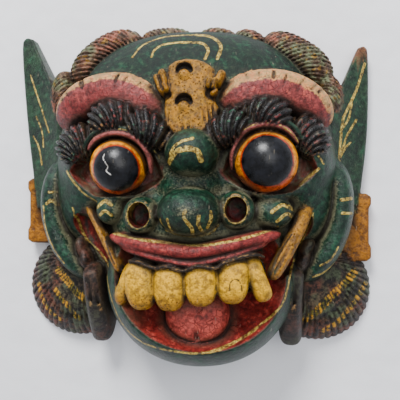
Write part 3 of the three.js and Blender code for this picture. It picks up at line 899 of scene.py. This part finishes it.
def painted_edges(vertices):
    """Which vertices lie so near to the edge of a painted line or band that they have to stay."""
    x, y, z = vertices.T
    near_line = np.abs(line_distance(vertices, GILT_LINES, RING_LINES)) < 1.7
    near_line |= line_distance(vertices, CHIPS + SPLITS) < 1.5
    near_band = (np.abs(ridge_edge(x, y)) < 1.6) & (y > 45) & (np.abs(x) < 106)
    near_ring = np.zeros(len(x), dtype=bool)
    for eye in EYES.values():
        cx, cy, r = eye["pupil"]
        near_ring |= np.abs(np.hypot(x - cx, y - cy) / r - 1.08) < 0.13
    near_dash = line_distance(vertices, FAN_BANDS) < 0.8
    front = z > 8
    return front & (near_line | near_band | near_ring | near_dash)


def air_around(wood, vertices):
    """How open the air is close by and further out, and how deep the wood is behind. A flat face has 1."""
    slope = wood.slope(vertices)
    close = sum(wood.sample(vertices + slope * r) / r for r in (1.5, 3.0, 5.0)) / 3
    far = wood.sample(vertices + slope * BASIN_REACH) / BASIN_REACH
    behind = sum(-wood.sample(vertices - slope * r) / r for r in (1.5, 3.0)) / 2
    return close, far, behind


def eye_values(x, y, in_eye):
    """Distance from the nearest pupil's middle in pupil radii, and how far below that middle."""
    ring = np.full(len(x), OFF_EYE)
    below = np.zeros(len(x))
    for eye in EYES.values():
        cx, cy, r = eye["pupil"]
        away = np.hypot(x - cx, y - cy)
        ring = np.minimum(ring, away / r)
        below = np.where(away < 2 * r, np.clip((cy - y) / r, 0, 1.4), below)
    return np.where(in_eye, ring, OFF_EYE), below


def paint_values(wood, vertices):
    """What the paint needs to know at each vertex."""
    near = group_distances(wood, vertices)
    names = list(near)
    weights = np.stack([np.exp(-near[n] / PAINT_BLEND) for n in names])
    weights /= weights.sum(0)
    colour = sum(w[:, None] * tint(*COLOURS[n]) for w, n in zip(weights, names))
    gloss = sum(w * GLOSS.get(n, 0.45) for w, n in zip(weights, names))
    pits = sum(w * PITTED.get(n, 0.0) for w, n in zip(weights, names))
    share = dict(zip(names, weights))
    x, y, _ = vertices.T

    stained = share["tooth"] * np.clip((-66 - y) / 10, 0, 1)
    colour = colour + (STAIN - colour) * (0.6 * stained)[:, None]
    # Painted shade: the skin is darker over the forehead and under the chin; the forehead share also adds
    # roughness.
    shaded_forehead = np.clip((y - 52) / 14, 0, 1) * share["skin"]
    shaded_chin = np.clip((-92 - y) / 20, 0, 1) * share["skin"]
    colour = colour * (1 - 0.5 * shaded_forehead - 0.35 * shaded_chin)[:, None]
    torn = 1.6 * np.sin(0.9 * x) + 1.2 * np.sin(2.3 * x + 1)
    broken_tip = np.clip((y - 106 - torn) / 2, 0, 1) * (x > 100) * share["ear"]
    colour = colour + (BROKEN_WOOD - colour) * broken_tip[:, None]

    air, far_air, wood_behind = air_around(wood, vertices)
    spared = sum(amount * share[name] for name, amount in LESS_WASH_AND_SHADE.items())
    ring, below = eye_values(x, y, share["eye"] > 0.4)
    dashes = np.clip(-line_distance(vertices, FAN_BANDS) / 0.6, 0, 1)
    dashes = dashes * np.clip((fan_strand(np.sign(x), x, y) - 0.55) * 5, 0, 1) * share["fan"]
    ungilt = share["bare"] + share["crest"] + share["tooth"] + share["brow"] > 0.4
    return {
        "paint": colour,
        "gloss": gloss + 0.3 * shaded_forehead,
        "pits": pits + stained,
        "chip": line_distance(vertices, CHIPS),
        "split": line_distance(vertices, SPLITS),
        # Painted shade: cavity sets the dark wash and shade in the cuts, basin the brown shade and the dust
        # in the hollows.
        "cavity": np.clip(1 - air, 0, 1) * (1 - spared),
        "basin": np.clip(1 - far_air, 0, 1),
        "edge": np.clip(1 - wood_behind, 0, 1),
        "gilt": np.where(ungilt, FAR, line_distance(vertices, GILT_LINES, RING_LINES)),
        "cream": np.where(share["ridge"] > 0.3, ridge_edge(x, y), NO_CREAM),
        "dashes": dashes,
        "eye": ring,
        "below": below,
        "skin": share["skin"] + share["ear"],
        "bare": share["bare"],
        "hair": share["hair"],
        "strand": share["hair"] + 0.5 * share["fan"] + 0.2 * share["lock"],
        "hair_brow": share["brow"],
        "red": share["mouth"] + share["lip"] + share["tongue"] + share["ridge"] + share["socket"],
    }


# Materials. Sizes in metres.

SPECULAR = 0.32
PAINT_RELIEF = 0.0014
CLOTH_RELIEF = 0.0012
CLOTH_ROUGHNESS = 0.9


class Nodes:
    """Short ways to build a shader."""

    def __init__(self, name):
        self.material = bpy.data.materials.new(name)
        self.material.use_nodes = True
        self.tree = self.material.node_tree
        self.tree.nodes.clear()

    def node(self, kind, inputs, **settings):
        """A node with its settings made and its inputs fed."""
        node = self.tree.nodes.new(kind)
        for key, value in settings.items():
            setattr(node, key, value)
        for key, value in inputs.items():
            self.feed(node.inputs[key], value)
        return node

    def feed(self, socket, value):
        """Links a socket or sets its value; colours are given as tints."""
        if hasattr(value, "is_output"):
            self.tree.links.new(value, socket)
        elif socket.type == "RGBA":
            socket.default_value = [*tint(*value), 1.0]
        else:
            socket.default_value = value

    def value(self, name):
        return self.node("ShaderNodeAttribute", {}, attribute_name=name).outputs["Fac"]

    def colour(self, name):
        return self.node("ShaderNodeAttribute", {}, attribute_name=name).outputs["Color"]

    def math(self, operation, a, b):
        return self.node("ShaderNodeMath", {0: a, 1: b}, operation=operation).outputs[0]

    def plus(self, a, b):
        return self.math("ADD", a, b)

    def minus(self, a, b):
        return self.math("SUBTRACT", a, b)

    def times(self, a, b):
        return self.math("MULTIPLY", a, b)

    def swing(self, noise, amount):
        """A noise centred on nought."""
        return self.times(self.minus(noise, 0.5), amount)

    def ramp(self, value, low, high, start=0.0, end=1.0):
        """A smooth step from start to end as value goes from low to high."""
        inputs = {"Value": value, "From Min": low, "From Max": high, "To Min": start, "To Max": end}
        node = self.node("ShaderNodeMapRange", inputs, interpolation_type="SMOOTHSTEP")
        return node.outputs["Result"]

    def mix(self, share, a, b, blend="MIX"):
        inputs = {"Factor": share, "A": a, "B": b}
        node = self.node("ShaderNodeMix", inputs, data_type="RGBA", blend_type=blend)
        return node.outputs["Result"]

    def place(self, stretch=(1.0, 1.0, 1.0)):
        coordinates = self.node("ShaderNodeTexCoord", {}).outputs["Object"]
        return self.node("ShaderNodeMapping", {"Vector": coordinates, "Scale": stretch}).outputs["Vector"]

    def noise(self, size, detail=4.0, rough=0.55, stretch=(1.0, 1.0, 1.0), twist=0.0):
        """Cloudy noise whose lumps are about size metres across."""
        inputs = {"Vector": self.place(stretch), "Scale": 1 / size, "Detail": detail,
                  "Roughness": rough, "Distortion": twist}
        return self.node("ShaderNodeTexNoise", inputs).outputs["Fac"]

    def cells(self, size, feature="F1"):
        """Distances in a pattern of cells that are about size metres across."""
        inputs = {"Vector": self.place(), "Scale": 1 / size}
        return self.node("ShaderNodeTexVoronoi", inputs, feature=feature).outputs["Distance"]

    def finish(self, colour, rough, height, depth):
        """The surface, with relief from height times depth in metres."""
        bump = self.node("ShaderNodeBump", {"Height": height, "Distance": depth, "Strength": 1.0})
        inputs = {"Base Color": colour, "Roughness": rough, "Specular IOR Level": SPECULAR,
                  "Normal": bump.outputs["Normal"]}
        surface = self.node("ShaderNodeBsdfPrincipled", inputs)
        self.node("ShaderNodeOutputMaterial", {"Surface": surface.outputs[0]})
        return self.material


class AgedPaint(Nodes):
    """Paint, gilt, dirt, painted shade and wear, laid one over the other on the carving's own colours."""

    def __init__(self, name):
        super().__init__(name)
        self.waver = self.swing(self.noise(0.003, 3), 2.0)
        self.fine = self.noise(0.0015, 4, 0.65)
        self.grime = self.noise(0.0035, 5, 0.7)
        self.patch = self.noise(0.007, 5, 0.65)
        self.cloud = self.noise(0.02, 4, 0.6)
        self.top = self.colour("paint")

    def coat(self, share, paint, blend="MIX"):
        """Lays paint over the coats so far."""
        self.top = self.mix(share, self.top, paint, blend)

    def share(self, value, name, most=1.0):
        """A value where the named paint is, and nothing elsewhere."""
        return self.times(self.times(value, self.value(name)), most)

    def wavering(self, name, amount):
        """The named value with an uneven edge."""
        return self.plus(self.value(name), self.times(self.waver, amount))

    def patches(self, noise, low, high, name, most, paint):
        """A coat where a noise runs from low to high, on the named paint only."""
        self.coat(self.share(self.ramp(noise, low, high), name, most), paint)


def greens(n):
    """Darker clouds, thin lighter places and brown dirt."""
    n.patches(n.cloud, 0.38, 0.66, "skin", 0.7, (18, 36, 29))
    n.patches(n.patch, 0.52, 0.7, "skin", 0.45, (48, 96, 72))
    n.patches(n.grime, 0.5, 0.68, "skin", 0.4, (54, 50, 38))


def reds(n):
    """Darker places, and others that are more orange."""
    n.patches(n.cloud, 0.46, 0.66, "red", 0.4, (118, 36, 38))
    n.patches(n.patch, 0.54, 0.68, "red", 0.35, (202, 104, 90))


def brow_hair(n):
    """Thin glints of green and pink on the black."""
    tone = n.mix(n.ramp(n.cloud, 0.42, 0.58), (136, 62, 60), (62, 104, 84))
    n.patches(n.noise(0.0035, 3, 0.6), 0.54, 0.64, "hair_brow", 0.55, tone)


def hair(n):
    """Faded red and green, and gold dashes across the strands."""
    faded = n.mix(n.ramp(n.noise(0.028, 2), 0.42, 0.58), (158, 98, 82), (110, 122, 96))
    n.patches(n.patch, 0.4, 0.62, "strand", 0.75, faded)
    n.patches(n.noise(0.005, 2, 0.5), 0.6, 0.66, "hair", 0.55, (172, 134, 66))
    olive = n.mix(n.ramp(n.patch, 0.44, 0.56), (120, 112, 58), (196, 146, 48))
    n.coat(n.times(n.value("dashes"), n.ramp(n.grime, 0.34, 0.46)), olive)


def ridges(n):
    """A cream band over the pink of the brow ridges, with a ragged edge."""
    edge = n.plus(n.wavering("cream", 1.5), n.swing(n.patch, 9.0))
    cream = n.mix(n.ramp(n.grime, 0.4, 0.62), (226, 190, 138), (196, 134, 96))
    n.coat(n.ramp(edge, -0.8, 0.8), cream)


def eyes(n):
    """Black, a thin red ring, then orange yellow that is redder below. Gives the share of the eyes."""
    ring = n.wavering("eye", 0.03)
    inside = n.ramp(ring, 2.4, 2.6, 1.0, 0.0)
    below = n.ramp(n.wavering("below", 0.2), 0.2, 0.9)
    yellow = n.mix(below, (234, 158, 34), (192, 88, 42))
    iris = n.mix(n.ramp(ring, 1.05, 1.13), (158, 62, 42), yellow)
    pupil = n.mix(n.patch, (6, 7, 10), (26, 27, 32))
    n.coat(inside, n.mix(n.ramp(ring, 1.0, 1.04), pupil, iris))
    return inside


def gilt(n):
    """Gilt lines, worn thin in places. Gives where they are."""
    line = n.ramp(n.wavering("gilt", 0.7), -0.15, 0.25, 1.0, 0.0)
    line = n.times(line, n.ramp(n.grime, 0.36, 0.48, 0.25, 1.0))
    gold = n.mix(n.ramp(n.fine, 0.36, 0.6), (126, 98, 44), (224, 200, 128))
    n.coat(n.times(line, 0.92), gold)
    return line


def pits(n):
    """Dark specks, amber and soot in the gold and the teeth. Gives where the specks are."""
    speck = n.ramp(n.cells(0.0021), 0.2, 0.34, 1.0, 0.0)
    pit = n.times(n.share(speck, "pits"), n.ramp(n.grime, 0.42, 0.54))
    n.coat(n.times(pit, 0.8), (60, 36, 18))
    n.patches(n.patch, 0.44, 0.6, "pits", 0.6, (152, 104, 36))
    n.patches(n.noise(0.0055, 6, 0.75), 0.5, 0.66, "pits", 0.6, (84, 56, 30))
    return pit


def crackle(n):
    """Fine cracks in the reds. Gives where they are."""
    crack = n.ramp(n.cells(0.0042, "DISTANCE_TO_EDGE"), 0.01, 0.05, 1.0, 0.0)
    crack = n.times(n.times(crack, n.value("red")), n.ramp(n.patch, 0.48, 0.56))
    n.coat(n.times(crack, 0.55), (58, 22, 22))
    return crack


def marks(n):
    """The scratch on the pupil and the splits."""
    n.coat(n.ramp(n.wavering("chip", 0.4), 0.0, 0.2, 1.0, 0.0), (226, 224, 220))
    split = n.ramp(n.value("split"), 0.0, 0.2, 1.0, 0.0)
    n.coat(n.times(split, 0.85), (30, 22, 16))


def blotches(n):
    """Thicker and thinner paint."""
    for noise, low, grey in ((n.grime, 0.36, (186, 183, 180)), (n.patch, 0.34, (192, 190, 187))):
        n.coat(1.0, n.mix(n.ramp(noise, low, 0.6), grey, (255, 255, 255)), "MULTIPLY")


def dust_wash_and_shade(n):
    """A brown painted shade and dust over the broad hollows, and dark wash in the cuts that is also painted
    shade. Gives the wash and shade.
    """
    broad_shade = n.plus(n.value("basin"), n.swing(n.grime, 1.1))
    n.coat(n.ramp(broad_shade, 0.4, 0.95, 0.0, 0.55), (66, 56, 44))
    dust = n.ramp(n.plus(n.value("basin"), n.swing(n.fine, 2.4)), 0.5, 0.9)
    n.coat(n.share(dust, "skin", 0.42), (128, 128, 106))
    deep = n.plus(n.value("cavity"), n.swing(n.patch, 0.5))
    wash_and_shade = n.ramp(deep, 0.12, 0.6, 0.0, 0.9)
    n.coat(wash_and_shade, (24, 19, 15))
    return wash_and_shade


def wear(n):
    """Paint rubbed through on the edges, and short scratches."""
    rubbed = n.times(n.ramp(n.value("edge"), 0.62, 0.95), n.ramp(n.grime, 0.48, 0.6))
    n.coat(n.times(rubbed, 0.6), (158, 124, 86))
    scratch = n.ramp(n.noise(0.004, 2, 0.5, (4.0, 0.5, 1.0), 0.4), 0.7, 0.73)
    scratch = n.times(scratch, n.ramp(n.cloud, 0.45, 0.6))
    n.coat(n.times(scratch, 0.4), (176, 166, 148))


def bare_wood(n):
    """The grain of the unpainted back."""
    grain = n.noise(0.004, 6, 0.6, (1.0, 0.12, 1.0), 0.6)
    n.coat(n.value("bare"), n.mix(grain, (112, 80, 50), (176, 136, 92)))


def painted_wood():
    n = AgedPaint("painted_wood")
    for coats in (greens, reds, brow_hair, hair, ridges):
        coats(n)
    in_eye = eyes(n)
    on_line = gilt(n)
    pit = pits(n)
    crack = crackle(n)
    marks(n)
    blotches(n)
    # Dust, dark wash and painted shade in the cuts and hollows; the same shade also roughens the surface.
    wash_and_shade = dust_wash_and_shade(n)
    wear(n)
    bare_wood(n)
    rough = n.plus(n.plus(n.value("gloss"), n.swing(n.patch, 0.3)), n.times(wash_and_shade, 0.25))
    height = n.plus(n.times(n.fine, 0.3), n.times(n.grime, 0.6))
    height = n.minus(height, n.times(pit, 0.8))
    height = n.minus(height, n.times(crack, 0.4))
    height = n.plus(height, n.times(on_line, 0.15))
    height = n.times(height, n.minus(1.0, n.times(in_eye, 0.8)))
    return n.finish(n.top, rough, height, PAINT_RELIEF)


def cloth():
    n = Nodes("cloth")
    soft = n.noise(0.09, 3, 0.5)
    colour = n.mix(soft, (238, 238, 240), (244, 244, 246))
    height = n.plus(n.times(soft, 6.0), n.times(n.noise(0.0015, 2), 0.12))
    return n.finish(colour, CLOTH_ROUGHNESS, height, CLOTH_RELIEF)


# Scene

def mesh_from(name, vertices, faces, scale=MM):
    mesh = bpy.data.meshes.new(name)
    mesh.from_pydata((vertices * scale).tolist(), [], faces.tolist())
    mesh.update()
    thing = bpy.data.objects.new(name, mesh)
    bpy.context.scene.collection.objects.link(thing)
    return thing


def thinned(thing, triangles, kept):
    """The same surface with fewer triangles, kept whole where the list says and finest where it curves."""
    count = sum(len(p.vertices) - 2 for p in thing.data.polygons)
    group = thing.vertex_groups.new(name="thin")
    group.add(np.flatnonzero(~kept).tolist(), 1.0, "REPLACE")
    modifier = thing.modifiers.new("thin", "DECIMATE")
    modifier.ratio = min(1.0, triangles / count)
    modifier.use_collapse_triangulate = True
    modifier.vertex_group = group.name
    graph = bpy.context.evaluated_depsgraph_get()
    mesh = bpy.data.meshes.new_from_object(thing.evaluated_get(graph))
    thing.modifiers.clear()
    thing.data = mesh
    thing.vertex_groups.clear()
    return thing


def with_values(mesh, values):
    for name, data in values.items():
        if data.ndim == 2:
            attribute = mesh.attributes.new(name, "FLOAT_COLOR", "POINT")
            rgba = np.concatenate([data, np.ones((len(data), 1))], axis=1)
            attribute.data.foreach_set("color", rgba.astype(np.float32).ravel())
        else:
            attribute = mesh.attributes.new(name, "FLOAT", "POINT")
            attribute.data.foreach_set("value", data.astype(np.float32))


def place_on_frame(vertices):
    """Moves the carving so that its footprint is centred where the CAD solid's is."""
    low, high = (np.array(v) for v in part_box("mask"))
    middle = (vertices.min(0) + vertices.max(0)) / 2
    shift = (low + high) / 2 / MM - middle
    shift[2] = low[2] / MM
    return shift


def build_mask():
    wood = carve()
    vertices, faces = wood.surface()
    mask = thinned(mesh_from("carved_mask", vertices, faces), TRIANGLES, painted_edges(vertices))
    mesh = mask.data
    flat = np.empty(len(mesh.vertices) * 3, dtype=np.float32)
    mesh.vertices.foreach_get("co", flat)
    points = flat.reshape(-1, 3).astype(float) / MM
    with_values(mesh, paint_values(wood, points))
    shift = place_on_frame(points)
    moved = (points + shift) * MM
    mesh.vertices.foreach_set("co", moved.astype(np.float32).ravel())
    mesh.polygons.foreach_set("use_smooth", np.ones(len(mesh.polygons), dtype=bool))
    mesh.materials.clear()
    mesh.materials.append(painted_wood())
    mesh.update()
    return mask, shift * MM


def build_cloth():
    half = 1.6
    corners = half * np.array([(-1, -1, 0), (1, -1, 0), (1, 1, 0), (-1, 1, 0)])
    floor = mesh_from("cloth", corners, np.array([[0, 1, 2, 3]]), 1.0)
    floor.data.materials.append(cloth())
    return floor


def add_light(name, place, size, power):
    lamp = bpy.data.lights.new(name, "AREA")
    lamp.shape = "DISK"
    lamp.size = size
    lamp.energy = power
    thing = bpy.data.objects.new(name, lamp)
    thing.location = place
    thing.rotation_euler = (-Vector(place)).to_track_quat("-Z", "Y").to_euler()
    bpy.context.scene.collection.objects.link(thing)


def set_light():
    sky = (0.9, 0.93, 1.0, 1.0)
    strength = 0.68
    world = bpy.data.worlds.new("room")
    world.use_nodes = True
    background = world.node_tree.nodes["Background"]
    background.inputs["Color"].default_value = sky
    background.inputs["Strength"].default_value = strength
    bpy.context.scene.world = world
    add_light("window", place=(-0.25, 1.2, 1.15), size=0.6, power=42)
    add_light("room_fill", place=(0.5, 0.4, 1.8), size=1.2, power=14)


# The camera: its distance in metres, its swing to the right in degrees, the point it aims at
# and the lens's focal length in pixels of a picture of that width.
CAMERA_DISTANCE = 0.480
CAMERA_SWING = 6
CAMERA_TARGET = (0.0056, -0.0032, 0.045)
PICTURE_WIDTH = 400
FOCAL_PIXELS = 626.5
SENSOR_WIDTH = 36


def set_camera(shift):
    """Looking down on the mask from a little to the right of its middle."""
    lean = math.radians(CAMERA_SWING)
    lens = bpy.data.cameras.new("camera")
    lens.sensor_width = SENSOR_WIDTH
    lens.lens = SENSOR_WIDTH * FOCAL_PIXELS / PICTURE_WIDTH
    camera = bpy.data.objects.new("camera", lens)
    away = CAMERA_DISTANCE * np.array([math.sin(lean), 0, math.cos(lean)])
    camera.location = np.array(CAMERA_TARGET) + shift + away
    camera.rotation_euler = (0, lean, 0)
    bpy.context.scene.collection.objects.link(camera)
    bpy.context.scene.camera = camera


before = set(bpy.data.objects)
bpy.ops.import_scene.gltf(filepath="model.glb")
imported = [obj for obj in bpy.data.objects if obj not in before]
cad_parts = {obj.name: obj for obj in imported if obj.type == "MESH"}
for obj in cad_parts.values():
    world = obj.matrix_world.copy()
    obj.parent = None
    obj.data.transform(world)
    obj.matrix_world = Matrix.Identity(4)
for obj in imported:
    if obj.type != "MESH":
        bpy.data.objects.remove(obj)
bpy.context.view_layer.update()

mask, shift = build_mask()
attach(mask, "root")
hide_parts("mask")

floor = build_cloth()
set_light()
set_camera(shift)
